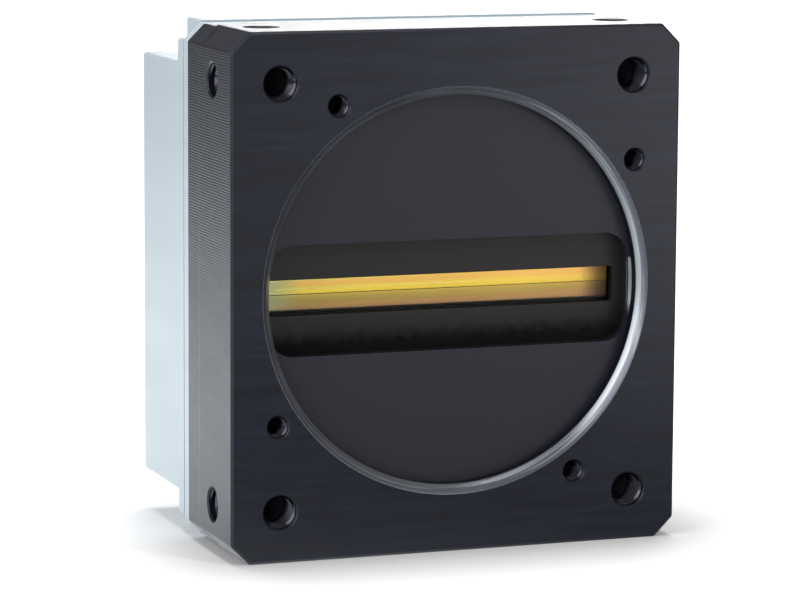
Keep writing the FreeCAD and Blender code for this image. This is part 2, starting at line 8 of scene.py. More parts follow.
import bpy
import numpy as np
from mathutils import Matrix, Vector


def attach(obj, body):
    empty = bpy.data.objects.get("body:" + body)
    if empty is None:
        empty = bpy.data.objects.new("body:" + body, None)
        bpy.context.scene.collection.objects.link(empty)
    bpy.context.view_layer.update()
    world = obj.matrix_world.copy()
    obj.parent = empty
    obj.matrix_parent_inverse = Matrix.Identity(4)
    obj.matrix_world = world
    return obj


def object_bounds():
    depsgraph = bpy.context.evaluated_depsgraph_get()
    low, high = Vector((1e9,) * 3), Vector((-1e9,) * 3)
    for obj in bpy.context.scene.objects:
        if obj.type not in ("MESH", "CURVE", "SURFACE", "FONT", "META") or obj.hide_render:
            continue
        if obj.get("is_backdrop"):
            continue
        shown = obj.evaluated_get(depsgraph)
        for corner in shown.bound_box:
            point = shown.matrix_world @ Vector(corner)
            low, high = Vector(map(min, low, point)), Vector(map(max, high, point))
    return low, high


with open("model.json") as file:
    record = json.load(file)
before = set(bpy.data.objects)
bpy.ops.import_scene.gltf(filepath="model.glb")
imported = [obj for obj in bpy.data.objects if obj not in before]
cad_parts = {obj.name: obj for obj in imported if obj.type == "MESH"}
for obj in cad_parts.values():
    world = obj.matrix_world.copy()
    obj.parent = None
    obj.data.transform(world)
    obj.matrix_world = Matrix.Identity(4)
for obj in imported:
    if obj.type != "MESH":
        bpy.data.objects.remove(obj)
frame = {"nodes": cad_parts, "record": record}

log = logging.getLogger("line_scan_camera")

MM = 0.001
FRONT_Y = -21.0
AXIS_Z = 31.0
BODY = "root"

# Nodes whose finish is not the one named by their slot.
NODE_FINISHES = {"front_module": "module_black"}

Socket = bpy.types.NodeSocket
Pair = tuple[float, float]
Point = tuple[float, float, float]
Tone = tuple[float, float, float]
Stops = tuple[tuple[float, Tone], ...]


def home(points: np.ndarray) -> np.ndarray:
    """Moves points of the design frame to the row frame.

    The design frame has its origin on the optical axis at the front face and is in
    millimetres. Row point = (x, y + FRONT_Y, z + AXIS_Z) / 1000.

    Args:
        points: array whose last axis is x, y, z in millimetres.

    Returns:
        The same array in metres of the row frame.
    """
    return (np.asarray(points, float) + np.array([0.0, FRONT_Y, AXIS_Z])) * MM


# ---- Meshes ----


class Ends(Enum):
    """How the ends of a carried profile are finished."""

    CAPPED = "capped"
    LOOPED = "looped"


def grid_faces(rows: int, columns: int, loop_rows: bool) -> np.ndarray:
    """Numbers the four corners of each face of a grid whose rows are closed.

    Point (i, j) has number i * columns + j, and the face at (i, j) joins it to its
    neighbours at i + 1 and j + 1, counted round each row and, if looped, round the rows.

    Args:
        rows: number of rows of points.
        columns: number of points in a row.
        loop_rows: whether the last row joins the first.

    Returns:
        Array of shape (faces, 4).
    """
    i = np.arange(rows if loop_rows else rows - 1)[:, None]
    j = np.arange(columns)[None, :]
    i1 = (i + 1) % rows
    j1 = (j + 1) % columns
    corners = [i * columns + j, i * columns + j1, i1 * columns + j1, i1 * columns + j]
    return np.stack(corners, axis=-1).reshape(-1, 4)


def surface_object(
    name: str, grids: Iterable[np.ndarray], ends: Ends, smooth: bool = True
) -> bpy.types.Object:
    """Makes one object of several grids of points whose rows are closed profiles.

    Args:
        name: name of the object.
        grids: arrays of shape (rows, columns, 3) in metres, each row one closed profile.
        ends: what closes the first and last row.
        smooth: whether faces are shaded smooth.

    Returns:
        The object, at the origin, linked to the scene.
    """
    points, faces, caps, base = [], [], [], 0
    for grid in grids:
        rows, columns = grid.shape[:2]
        points.append(grid.reshape(-1, 3))
        faces.append(grid_faces(rows, columns, ends is Ends.LOOPED) + base)
        if ends is Ends.CAPPED:
            first = np.arange(columns) + base
            caps.append(tuple(int(v) for v in first[::-1]))
            caps.append(tuple(int(v) for v in first + (rows - 1) * columns))
        base += rows * columns
    mesh = bpy.data.meshes.new(name)
    quads = [tuple(int(v) for v in f) for f in np.concatenate(faces)]
    mesh.from_pydata(np.concatenate(points).tolist(), [], quads + caps)
    mesh.polygons.foreach_set("use_smooth", np.full(len(mesh.polygons), smooth))
    mesh.validate()
    mesh.update()
    piece = bpy.data.objects.new(name, mesh)
    bpy.context.scene.collection.objects.link(piece)
    return piece


def turned_grid(profile: np.ndarray, at: np.ndarray, axis: np.ndarray, steps: int) -> np.ndarray:
    """Spins a closed profile about an axis.

    Point = at + axis * a + (side * cos(t) + up * sin(t)) * r for each profile pair
    (r, a) and each angle t of the turn, side and up being square to the axis.

    Args:
        profile: array of (radius, distance along the axis) in millimetres.
        at: point of the axis where the distance is zero, design frame.
        axis: unit vector of the axis.
        steps: number of profiles round the turn.

    Returns:
        Array of shape (steps, len(profile), 3) in metres.
    """
    side, up = across(axis)
    t = np.linspace(0.0, 2.0 * np.pi, steps, endpoint=False)[:, None, None]
    r = profile[None, :, 0:1]
    a = profile[None, :, 1:2]
    return home(at + axis * a + (side * np.cos(t) + up * np.sin(t)) * r)


def across(axis: np.ndarray) -> tuple[np.ndarray, np.ndarray]:
    """Two unit vectors square to an axis and to each other, found from Z, or X near Z.

    Args:
        axis: unit vector.

    Returns:
        side and up, so that side x up = axis.
    """
    helper = np.array([0.0, 0.0, 1.0]) if abs(axis[2]) < 0.9 else np.array([1.0, 0.0, 0.0])
    side = np.cross(helper, axis)
    side /= np.linalg.norm(side)
    return side, np.cross(axis, side)


# ---- Finishes ----


NOISE_LOW, NOISE_HIGH = 0.3, 0.7
WAVE_TURN = math.pi / 10.0


class Graph:
    """Node graph of one material, with short calls to add and join nodes."""

    def __init__(self, name: str) -> None:
        """Starts an empty material.

        Args:
            name: name of the material.
        """
        self.material = bpy.data.materials.new(name)
        self.material.use_nodes = True
        self.tree = self.material.node_tree
        self.tree.nodes.clear()
        self.out = self.tree.nodes.new("ShaderNodeOutputMaterial")
        self.place = self.add("ShaderNodeTexCoord").outputs["Object"]

    def add(self, kind: str, **inputs: object) -> bpy.types.Node:
        """Adds a node and sets its input sockets by name, underscores for spaces.

        Args:
            kind: the node's type.
            inputs: a value, or an output socket to join, for each input.

        Returns:
            The node.
        """
        node = self.tree.nodes.new(kind)
        for key, value in inputs.items():
            self.feed(node.inputs[key.replace("_", " ")], value)
        return node

    def feed(self, socket: Socket, value: object) -> None:
        """Joins a value to an input, or sets it there.

        Args:
            socket: the input.
            value: an output socket or a plain value.
        """
        if isinstance(value, Socket):
            self.tree.links.new(value, socket)
        else:
            socket.default_value = value

    def stretched(self, scale: Point) -> Socket:
        """Object coordinates scaled per axis.

        Args:
            scale: factor along x, y and z.

        Returns:
            The vector socket.
        """
        node = self.add("ShaderNodeMapping", Vector=self.place, Scale=scale)
        return node.outputs["Vector"]

    def noise(self, vector: Socket, scale: float, detail: float) -> Socket:
        """Noise value of a vector.

        Args:
            vector: coordinates.
            scale: waves per unit.
            detail: number of finer layers.

        Returns:
            The value socket, about NOISE_LOW to NOISE_HIGH.
        """
        node = self.add("ShaderNodeTexNoise", Vector=vector, Scale=scale, Detail=detail)
        return node.outputs["Fac"]

    def length(self, vector: Socket) -> Socket:
        """Length of a vector.

        Args:
            vector: the vector socket.

        Returns:
            The value socket.
        """
        node = self.add("ShaderNodeVectorMath", Vector=vector)
        node.operation = "LENGTH"
        return node.outputs["Value"]

    def off_axis(self) -> Socket:
        """Vector from the optical axis to the place: (x, 0, z - AXIS_Z)."""
        centre = (0.0, 0.0, -AXIS_Z * MM)
        node = self.add("ShaderNodeMapping", Vector=self.place, Location=centre, Scale=(1.0, 0.0, 1.0))
        return node.outputs["Vector"]

    def part(self, vector: Socket, axis: str) -> Socket:
        """One component of a vector.

        Args:
            vector: the vector socket.
            axis: "X", "Y" or "Z".

        Returns:
            The value socket.
        """
        return self.add("ShaderNodeSeparateXYZ", Vector=vector).outputs[axis]

    def spread(
        self, value: Socket, low: float, high: float, start: float = NOISE_LOW, end: float = NOISE_HIGH
    ) -> Socket:
        """Maps a value from start..end to low..high.

        Args:
            value: socket to map.
            low: result at start.
            high: result at end.
            start: value that gives low.
            end: value that gives high.

        Returns:
            The mapped socket.
        """
        span = {"From_Min": start, "From_Max": end, "To_Min": low, "To_Max": high}
        return self.add("ShaderNodeMapRange", Value=value, **span).outputs["Result"]

    def math(self, operation: str, *values: object) -> Socket:
        """Arithmetic on one or two values.

        Args:
            operation: the Math node's operation.
            values: sockets or plain numbers.

        Returns:
            The result's socket.
        """
        node = self.tree.nodes.new("ShaderNodeMath")
        node.operation = operation
        for index, value in enumerate(values):
            self.feed(node.inputs[index], value)
        return node.outputs[0]

    def ramp(self, value: Socket, stops: Stops) -> Socket:
        """Colour ramp.

        Args:
            value: socket that runs along the ramp.
            stops: position and colour of each stop, in order.

        Returns:
            The colour socket.
        """
        node = self.add("ShaderNodeValToRGB", Fac=value)
        elements = node.color_ramp.elements
        for index, (position, colour) in enumerate(stops):
            element = elements[index] if index < 2 else elements.new(position)
            element.position = position
            element.color = (*colour, 1.0)
        return node.outputs["Color"]

    def blend(self, how: str, share: Socket | float, under: Socket, over: Socket | Tone) -> Socket:
        """Mixes two colours.

        Args:
            how: the Mix node's blend type.
            share: socket or plain number, the upper colour's share.
            under: socket of the lower colour.
            over: socket or plain value of the upper colour.

        Returns:
            The colour socket.
        """
        node = self.tree.nodes.new("ShaderNodeMix")
        node.data_type = "RGBA"
        node.blend_type = how
        self.feed(node.inputs["Factor"], share)
        self.tree.links.new(under, node.inputs[6])
        if isinstance(over, Socket):
            self.tree.links.new(over, node.inputs[7])
        else:
            node.inputs[7].default_value = (*over, 1.0)
        return node.outputs[2]

    def bump(self, height: Socket, distance: float, strength: float) -> Socket:
        """Bump normal from a height.

        Args:
            height: socket from 0 to 1.
            distance: metres of height at 1.
            strength: share of the effect.

        Returns:
            The normal socket.
        """
        node = self.add("ShaderNodeBump", Height=height, Distance=distance, Strength=strength)
        return node.outputs["Normal"]

    def surface(self, shader: bpy.types.Node) -> bpy.types.Material:
        """Joins a shader to the output.

        Args:
            shader: the shader node.

        Returns:
            The finished material.
        """
        self.tree.links.new(shader.outputs[0], self.out.inputs["Surface"])
        return self.material


@dataclass(frozen=True)
class Anodise:
    """Anodised aluminium: mottled colour, fine grain, mill lines on the faces that look sideways."""

    name: str
    dark: Tone
    light: Tone
    metallic: float
    specular: float
    roughness: Pair
    patch: float
    cloud: float
    line_pitch: float
    line_depth: float
    line_tone: float
    drawn: Point = (1.0, 0.3, 1.0)
    cloud_drawn: Point = (1.0, 0.3, 1.0)
    mottle: Pair = (0.32, 0.68)
    line_colour: Tone = (0.3, 0.3, 0.3)
    line_bend: float = 1.2
    grain: float = 9000.0
    grain_depth: float = 1.0e-6
    grain_share: float = 0.6

    def tone(self, graph: Graph) -> Socket:
        """Colour before the mill lines: two tones mixed by a noise that is drawn out one way.

        Args:
            graph: the material's graph.

        Returns:
            The colour socket.
        """
        patches = graph.noise(graph.stretched(self.drawn), self.patch, 4.0)
        return graph.ramp(patches, tuple(zip(self.mottle, (self.dark, self.light))))

    def gloss(self, graph: Graph) -> Socket:
        """Roughness: a cloudy noise.

        Args:
            graph: the material's graph.

        Returns:
            The value socket.
        """
        clouds = graph.noise(graph.stretched(self.cloud_drawn), self.cloud, 3.0)
        return graph.spread(clouds, *self.roughness)

    def build(self) -> bpy.types.Material:
        """Makes the material.

        Lines = sine of the height over line_pitch, bent by a slow noise, times the share of
        the normal that points along X.

        Returns:
            The finished material.
        """
        graph = Graph(self.name)
        wave = graph.add(
            "ShaderNodeTexWave", Vector=graph.place, Scale=WAVE_TURN / self.line_pitch,
            Distortion=self.line_bend, Detail=2.0, Detail_Scale=0.4,
        )
        wave.bands_direction = "Z"
        facing = graph.part(graph.add("ShaderNodeNewGeometry").outputs["Normal"], "X")
        lines = graph.math("MULTIPLY", wave.outputs["Fac"], graph.math("ABSOLUTE", facing))
        share = graph.math("MULTIPLY", lines, self.line_tone)
        lined = graph.blend("MULTIPLY", share, self.tone(graph), self.line_colour)
        grain = graph.add(
            "ShaderNodeBump", Height=graph.noise(graph.place, self.grain, 2.0),
            Normal=graph.bump(lines, self.line_depth, 1.0),
            Distance=self.grain_depth, Strength=self.grain_share,
        )
        shader = graph.add(
            "ShaderNodeBsdfPrincipled", Base_Color=lined, Roughness=self.gloss(graph),
            Normal=grain.outputs["Normal"],
        )
        shader.inputs["Metallic"].default_value = self.metallic
        shader.inputs["Specular IOR Level"].default_value = self.specular
        return graph.surface(shader)


@dataclass(frozen=True)
class ModuleAnodise(Anodise):
    """Black anodise of the front module: other tones in the recess and the pocket, near black in the slot as
    painted shade, and painted shade toward the pocket's foot.
    """

    recess: Tone = (0.0185, 0.0188, 0.0290)
    pocket: Tone = (0.017, 0.014, 0.015)
    # Near black tone of the slot: painted shade.
    slot: Tone = (0.0012, 0.0011, 0.0012)
    levels: tuple[float, float, float] = (2.2, 3.4, 4.32)
    level_edge: float = 0.06
    within_r: float = 23.6
    # Heights of the painted shade at the pocket's foot: none at the first, full at the second.
    foot: Pair = (-2.4, -6.0)
    ragged: float = 0.3
    ragged_scale: float = 900.0
    dull: float = 0.52

    def depth(self, graph: Graph, level: float) -> Socket:
        """Share from 0 to 1 that is past a level behind the front face and within the lens recess.

        Args:
            graph: the material's graph.
            level: millimetres behind the front face.

        Returns:
            The value socket.
        """
        place_y = graph.part(graph.place, "Y")
        step = [(FRONT_Y + level + side * self.level_edge) * MM for side in (-1, 1)]
        back = graph.spread(place_y, 0.0, 1.0, *step)
        within = graph.math("LESS_THAN", graph.length(graph.off_axis()), self.within_r * MM)
        return graph.math("MULTIPLY", back, within)

    def tone(self, graph: Graph) -> Socket:
        """Colour before the mill lines, with one tone per depth, near black in the slot as painted shade, and
        painted shade toward the pocket's foot.

        Args:
            graph: the material's graph.

        Returns:
            The colour socket.
        """
        colour = Anodise.tone(self, graph)
        # Tones of the recess and the pocket, and near black in the slot as painted shade.
        for level, tint in zip(self.levels, (self.recess, self.pocket, self.slot)):
            colour = graph.blend("MIX", self.depth(graph, level), colour, tint)
        # Painted shade toward the pocket's foot, in the slot's near black tone.
        return graph.blend("MIX", self.shaded(graph), colour, self.slot)

    def shaded(self, graph: Graph) -> Socket:
        """Share from 0 to 1 of painted shade toward the pocket's foot, with a ragged edge.

        Args:
            graph: the material's graph.

        Returns:
            The value socket.
        """
        rough = graph.noise(graph.place, self.ragged_scale, 3.0)
        sway = graph.spread(rough, -self.ragged * MM, self.ragged * MM)
        height = graph.math("ADD", graph.part(graph.place, "Z"), sway)
        foot = graph.spread(height, 0.0, 1.0, *[(AXIS_Z + z) * MM for z in self.foot])
        return graph.math("MULTIPLY", self.depth(graph, self.levels[1]), foot)

    def gloss(self, graph: Graph) -> Socket:
        """Roughness: a cloudy noise, duller in the recess and dull in the slot.

        Args:
            graph: the material's graph.

        Returns:
            The value socket.
        """
        recess, _, slot = (self.depth(graph, level) for level in self.levels)
        rough = Anodise.gloss(self, graph)
        for floor in (graph.math("MULTIPLY", recess, self.dull), self.shaded(graph), slot):
            rough = graph.math("MAXIMUM", rough, floor)
        return rough


@dataclass(frozen=True)
class BareLip:
    """Bare turned metal of the recess's chamfer, lightened at its inner edge as a painted highlight and
    duller at its outer.
    """

    name: str
    inner_r: float
    outer_r: float
    # Inner tone: the bare metal lightened as a painted highlight.
    inner: Tone
    outer: Tone
    roughness: Pair
    change: Pair = (0.42, 0.60)
    sway: float = 0.45
    streak: float = 1.6
    streak_rings: float = 3.0
    streak_turn: float = 4.4
    metallic: float = 0.94

    def build(self) -> bpy.types.Material:
        """Makes the material.

        Tone runs with r = sqrt(x^2 + (z - AXIS_Z)^2), swayed by a noise of r and of the angle
        about the axis, so that its streaks run round.

        Returns:
            The finished material.
        """
        graph = Graph(self.name)
        centred = graph.off_axis()
        across_lip = graph.spread(graph.length(centred), 0.0, 1.0, self.inner_r * MM, self.outer_r * MM)
        angle = graph.math("ARCTAN2", graph.part(centred, "Z"), graph.part(centred, "X"))
        turned = graph.add(
            "ShaderNodeCombineXYZ", X=graph.math("MULTIPLY", across_lip, self.streak_rings),
            Y=graph.math("ADD", angle, self.streak_turn),
        )
        cloud = graph.noise(turned.outputs["Vector"], self.streak, 3.0)
        toned = graph.math("ADD", across_lip, graph.spread(cloud, -self.sway, self.sway))
        # Lighter toward the inner edge as a painted highlight, duller toward the outer.
        colour = graph.ramp(toned, tuple(zip(self.change, (self.inner, self.outer))))
        rough = graph.spread(cloud, *self.roughness)
        shader = graph.add("ShaderNodeBsdfPrincipled", Base_Color=colour, Roughness=rough)
        shader.inputs["Metallic"].default_value = self.metallic
        return graph.surface(shader)


@dataclass(frozen=True)
class SensorFilm:
    """Shiny film of the sensor's face: coloured bands across its height, the upper ones brightened as a
    painted highlight, a painted reflection over the left end and painted shade at the right end.

    Its heights and distances along X are in metres of the row frame.
    """

    name: str
    low: float
    high: float
    half_w: float
    # Film colours across the height, the upper ones brightened as a painted highlight.
    bands: Stops
    # Tint along the sensor, the right end darkened as painted shade.
    along: Stops
    # Colour of the painted reflection over the left end.
    painted_reflection: Tone
    reflection_ends: Pair
    dull_ends: Pair
    roughness: Pair = (0.15, 0.24)
    drawn: Point = (22.0, 1.0, 1500.0)
    sway: float = 0.035
    reflection_level: float = 0.9
    reflection_foot: float = 0.55
    end_dull: float = 0.38
    metallic: float = 0.65

    def build(self) -> bpy.types.Material:
        """Makes the material.

        Band = height between low and high, swayed by a noise drawn out along the sensor.

        Returns:
            The finished material.
        """
        graph = Graph(self.name)
        place_x, place_z = graph.part(graph.place, "X"), graph.part(graph.place, "Z")
        wave = graph.noise(graph.stretched(self.drawn), 1.0, 3.0)
        height = graph.spread(place_z, 0.0, 1.0, self.low, self.high)
        swayed = graph.math("ADD", height, graph.spread(wave, -self.sway, self.sway))
        run = graph.spread(place_x, 0.0, 1.0, -self.half_w, self.half_w)
        # Bands times the along ramp, which darkens and cools the left end and darkens the right end as
        # painted shade.
        ends_shaded = graph.blend("MULTIPLY", 1.0, graph.ramp(swayed, self.bands), graph.ramp(run, self.along))
        # Painted reflection over the left end, weaker toward the bottom.
        fade = graph.spread(place_x, self.reflection_level, 0.0, *self.reflection_ends)
        shade = graph.math("MULTIPLY", fade, graph.spread(height, self.reflection_foot, 1.0, 0.0, 1.0))
        colour = graph.blend("MIX", shade, ends_shaded, self.painted_reflection)
        dull_end = graph.spread(place_x, 0.0, self.end_dull, *self.dull_ends)
        rough = graph.math("ADD", graph.spread(wave, *self.roughness), dull_end)
        shader = graph.add("ShaderNodeBsdfPrincipled", Base_Color=colour, Roughness=rough)
        shader.inputs["Metallic"].default_value = self.metallic
        return graph.surface(shader)


@dataclass(frozen=True)
class Plated:
    """Plated or bare metal: clean colour with a slight cloud and fine turned grain."""

    name: str
    colour: Tone
    roughness: Pair
    cloud: float = 320.0
    cloud_level: float = 0.82
    shine_cloud: float = 2600.0
    grain: Point = (900.0, 9000.0, 900.0)
    grain_depth: float = 1.0e-6
    grain_share: float = 0.5

    def build(self) -> bpy.types.Material:
        """Makes the material."""
        graph = Graph(self.name)
        darker = tuple(self.cloud_level * c for c in self.colour)
        cloud = graph.noise(graph.place, self.cloud, 5.0)
        colour = graph.ramp(cloud, ((NOISE_LOW, darker), (NOISE_HIGH, self.colour)))
        rough = graph.spread(graph.noise(graph.place, self.shine_cloud, 3.0), *self.roughness)
        grain = graph.noise(graph.stretched(self.grain), 1.0, 2.0)
        normal = graph.bump(grain, self.grain_depth, self.grain_share)
        shader = graph.add("ShaderNodeBsdfPrincipled", Base_Color=colour, Roughness=rough, Normal=normal)
        shader.inputs["Metallic"].default_value = 1.0
        return graph.surface(shader)


@dataclass(frozen=True)
class Moulded:
    """Moulded plastic, ceramic, lacquer or pad: two close tones and a fine texture."""

    name: str
    dark: Tone
    light: Tone
    roughness: Pair
    patch: float = 700.0
    texture: float = 5000.0
    texture_depth: float = 3.0e-6
    texture_share: float = 0.6
    specular: float = 0.5

    def build(self) -> bpy.types.Material:
        """Makes the material."""
        graph = Graph(self.name)
        tone = graph.noise(graph.place, self.patch, 5.0)
        colour = graph.ramp(tone, ((NOISE_LOW, self.dark), (NOISE_HIGH, self.light)))
        rough = graph.spread(tone, *self.roughness)
        texture = graph.noise(graph.place, self.texture, 2.0)
        normal = graph.bump(texture, self.texture_depth, self.texture_share)
        shader = graph.add("ShaderNodeBsdfPrincipled", Base_Color=colour, Roughness=rough, Normal=normal)
        shader.inputs["Specular IOR Level"].default_value = self.specular
        return graph.surface(shader)


@dataclass(frozen=True)
class ClearGlass:
    """Coated clear pane: lets light through and keeps a faint reflection of its own."""

    name: str
    tint: Tone
    roughness: Pair
    haze: float = 900.0
    coated_ior: float = 1.14

    def build(self) -> bpy.types.Material:
        """Makes the material."""
        graph = Graph(self.name)
        clear = graph.add("ShaderNodeBsdfTransparent", Color=(*self.tint, 1.0))
        haze = graph.spread(graph.noise(graph.place, self.haze, 3.0), *self.roughness)
        gloss = graph.add("ShaderNodeBsdfGlossy", Color=(1.0, 1.0, 1.0, 1.0), Roughness=haze)
        edge = graph.add("ShaderNodeFresnel", IOR=self.coated_ior)
        mix = graph.add("ShaderNodeMixShader", Fac=edge.outputs[0])
        graph.tree.links.new(clear.outputs[0], mix.inputs[1])
        graph.tree.links.new(gloss.outputs[0], mix.inputs[2])
        return graph.surface(mix)


Finish = Anodise | BareLip | SensorFilm | Plated | Moulded | ClearGlass

FINISHES: dict[str, Finish] = {
    finish.name: finish
    for finish in (
        ModuleAnodise(
            "module_black", dark=(0.0034, 0.0048, 0.0115), light=(0.0084, 0.0098, 0.0255),
            metallic=0.0, specular=0.41, roughness=(0.36, 0.39), patch=1500.0, cloud=450.0,
            drawn=(0.06, 0.3, 1.0), line_pitch=0.00033, line_depth=12.0e-6, line_tone=0.2,
        ),
        Anodise(
            "silver_anodised", dark=(0.48, 0.557, 0.61), light=(0.525, 0.603, 0.656),
            metallic=0.10, specular=0.2, roughness=(0.36, 0.46), patch=60.0, cloud=180.0,
            line_pitch=0.00034, line_depth=0.6e-6, line_tone=0.04,
        ),
        BareLip(
            "bare_lip", inner_r=23.1, outer_r=24.2, inner=(0.50, 0.53, 0.57),
            outer=(0.23, 0.235, 0.28), roughness=(0.30, 0.38),
        ),
        SensorFilm(
            "sensor_silicon", low=(AXIS_Z - 2.25) * MM, high=(AXIS_Z + 1.3) * MM, half_w=21.66 * MM,
            # Film colours across the height, the upper bands brightened as a painted highlight.
            bands=(
                (0.00, (0.39, 0.19, 0.080)),
                (0.12, (0.49, 0.24, 0.082)),
                (0.24, (0.45, 0.25, 0.058)),
                (0.36, (0.46, 0.30, 0.056)),
                (0.46, (0.56, 0.34, 0.067)),
                (0.53, (0.90, 0.56, 0.054)),
                (0.62, (0.90, 0.58, 0.065)),
                (0.72, (0.97, 0.62, 0.095)),
                (0.84, (0.96, 0.50, 0.102)),
                (0.96, (0.96, 0.50, 0.117)),
                (1.00, (0.82, 0.56, 0.061)),
            ),
            # Along the sensor: both ends darkened, the right end as painted shade.
            along=(
                (0.00, (0.62, 0.70, 0.85)),
                (0.10, (0.90, 0.95, 0.95)),
                (0.25, (1.00, 1.00, 1.00)),
                (0.75, (0.97, 0.94, 0.96)),
                (1.00, (0.72, 0.62, 0.70)),
            ),
            # Painted reflection: its colour and where it fades over the left end; then where the right end
            # grows rough.
            painted_reflection=(0.42, 0.46, 0.24), reflection_ends=(-21.3 * MM, -17.4 * MM), dull_ends=(18.0 * MM, 20.8 * MM),
        ),
        ClearGlass("cover_glass", (0.97, 0.99, 0.97), (0.02, 0.04)),
        Plated("tapped_edge", (0.085, 0.085, 0.105), (0.15, 0.24)),
        Plated("seam_metal", (0.30, 0.32, 0.33), (0.3, 0.4)),
        Plated("film_line", (0.95, 0.80, 0.25), (0.25, 0.35)),
        Plated("gold_plate", (0.83, 0.60, 0.25), (0.18, 0.32)),
        Plated("brass_nickel", (0.70, 0.67, 0.60), (0.2, 0.34)),
        Plated("steel", (0.60, 0.61, 0.62), (0.18, 0.32)),
        Plated("tin_plate", (0.72, 0.72, 0.70), (0.22, 0.38)),
        Plated("nickel", (0.66, 0.64, 0.60), (0.16, 0.28)),
        Moulded("dark_ceramic", (0.006, 0.006, 0.007), (0.012, 0.011, 0.011), (0.5, 0.7)),
        Moulded("circuit_board", (0.008, 0.085, 0.040), (0.014, 0.120, 0.055), (0.28, 0.42)),
        Moulded("chip_black", (0.014, 0.014, 0.015), (0.022, 0.022, 0.023), (0.55, 0.7)),
        Moulded("pad_grey", (0.20, 0.22, 0.24), (0.28, 0.30, 0.32), (0.8, 0.92)),
        Moulded("capacitor_tan", (0.30, 0.19, 0.10), (0.40, 0.27, 0.15), (0.4, 0.55)),
        Moulded("link_plastic", (0.52, 0.48, 0.38), (0.60, 0.56, 0.46), (0.42, 0.55)),
        Moulded("power_grey", (0.035, 0.035, 0.038), (0.055, 0.055, 0.058), (0.45, 0.6)),
        Moulded("insulator_black", (0.012, 0.012, 0.013), (0.02, 0.02, 0.021), (0.34, 0.46)),
        Moulded("guide_clear", (0.62, 0.72, 0.64), (0.70, 0.80, 0.72), (0.12, 0.22)),
        Moulded("light_chip", (0.72, 0.70, 0.45), (0.82, 0.80, 0.55), (0.2, 0.3)),
    )
}


class Paint:
    """Builds each finish once and puts it on CAD nodes and new pieces."""

    def __init__(self) -> None:
        """Starts with no finish built."""
        self.made: dict[str, bpy.types.Material] = {}

    def get(self, finish: str) -> bpy.types.Material:
        """Returns the material of a finish, built on its first use.

        Args:
            finish: key in FINISHES.

        Returns:
            The material.
        """
        if finish not in self.made:
            self.made[finish] = FINISHES[finish].build()
        return self.made[finish]

    def dress(self, piece: bpy.types.Object, finish: str) -> bpy.types.Object:
        """Gives a new piece its finish and its body.

        Args:
            piece: the piece, in place.
            finish: key in FINISHES.

        Returns:
            The piece.
        """
        piece.data.materials.clear()
        piece.data.materials.append(self.get(finish))
        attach(piece, BODY)
        log.info("piece %s: %d faces, %s", piece.name, len(piece.data.polygons), finish)
        return piece

    def dress_node(self, name: str, finish: str) -> None:
        """Gives a CAD node its finish.

        Args:
            name: the node.
            finish: key in FINISHES.
        """
        node = frame["nodes"][name]
        for slot in node.material_slots:
            slot.material = self.get(finish)
        log.info("node %s: %s", name, finish)


# ---- Sub-assemblies ----


@dataclass(frozen=True)
class ThreadSize:
    """Sizes of one thread in millimetres."""

    major_r: float
    minor_r: float
    pitch: float


class Thread(Enum):
    """Threads used on the camera."""

    M4 = ThreadSize(2.0, 1.64, 0.7)
    M25 = ThreadSize(1.25, 1.02, 0.45)
    M2 = ThreadSize(1.0, 0.80, 0.4)


@dataclass
class ThreadedHoles:
    """Thread ridges inside the tapped holes of one group."""

    name: str
    thread: Thread
    depth: float
    mouths: list[tuple[Point, Point]]
    slot: str = "black_anodised"
    finish: str = "tapped_edge"
    lead_in: float = 0.22
    sink: float = 0.03
    crest_share: float = 0.09
    foot_share: float = 0.98
    turn_steps: int = 40

    def ridge(self, at: np.ndarray, inward: np.ndarray) -> np.ndarray:
        """Ridge of one thread.

        A blunt triangle, its feet sunk into the wall and its crest at the minor radius, is
        carried along the helix whose depth is lead_in + pitch * turns. Over the first and
        last turn the crest sinks back into the wall, as a square root.

        Args:
            at: centre of the hole's mouth, design frame.
            inward: unit vector into the hole.

        Returns:
            Array of shape (steps, 5, 3) in metres.
        """
        size = self.thread.value
        turns = (self.depth - self.lead_in - size.pitch) / size.pitch
        count = int(turns * self.turn_steps)
        t = np.linspace(0.0, turns, count)[:, None]
        fade = np.clip(np.minimum(t, turns - t), 0.0, 1.0) ** 0.5
        outer = np.full_like(t, size.major_r + self.sink)
        crest = outer - (outer - size.minor_r) * fade
        half, blunt = size.pitch / 2, size.pitch * self.crest_share
        offsets = np.array([[-half, -blunt, 0.0, blunt, half]]) * self.foot_share
        radius = np.concatenate([outer, crest, crest, crest, outer], axis=1)
        depth = self.lead_in + half + size.pitch * t + offsets
        side, up = across(inward)
        angle = 2.0 * np.pi * t
        turn = side * np.cos(angle) + up * np.sin(angle)
        return home(at + inward * depth[..., None] + turn[:, None, :] * radius[..., None])

    def build(self, paint: Paint) -> bpy.types.Object:
        """Makes one piece of all the group's ridges.

        Args:
            paint: the finishes.

        Returns:
            The piece.
        """
        grids = [self.ridge(np.array(at), np.array(inward)) for at, inward in self.mouths]
        piece = surface_object(self.name, grids, Ends.CAPPED, smooth=False)
        return paint.dress(piece, self.finish)


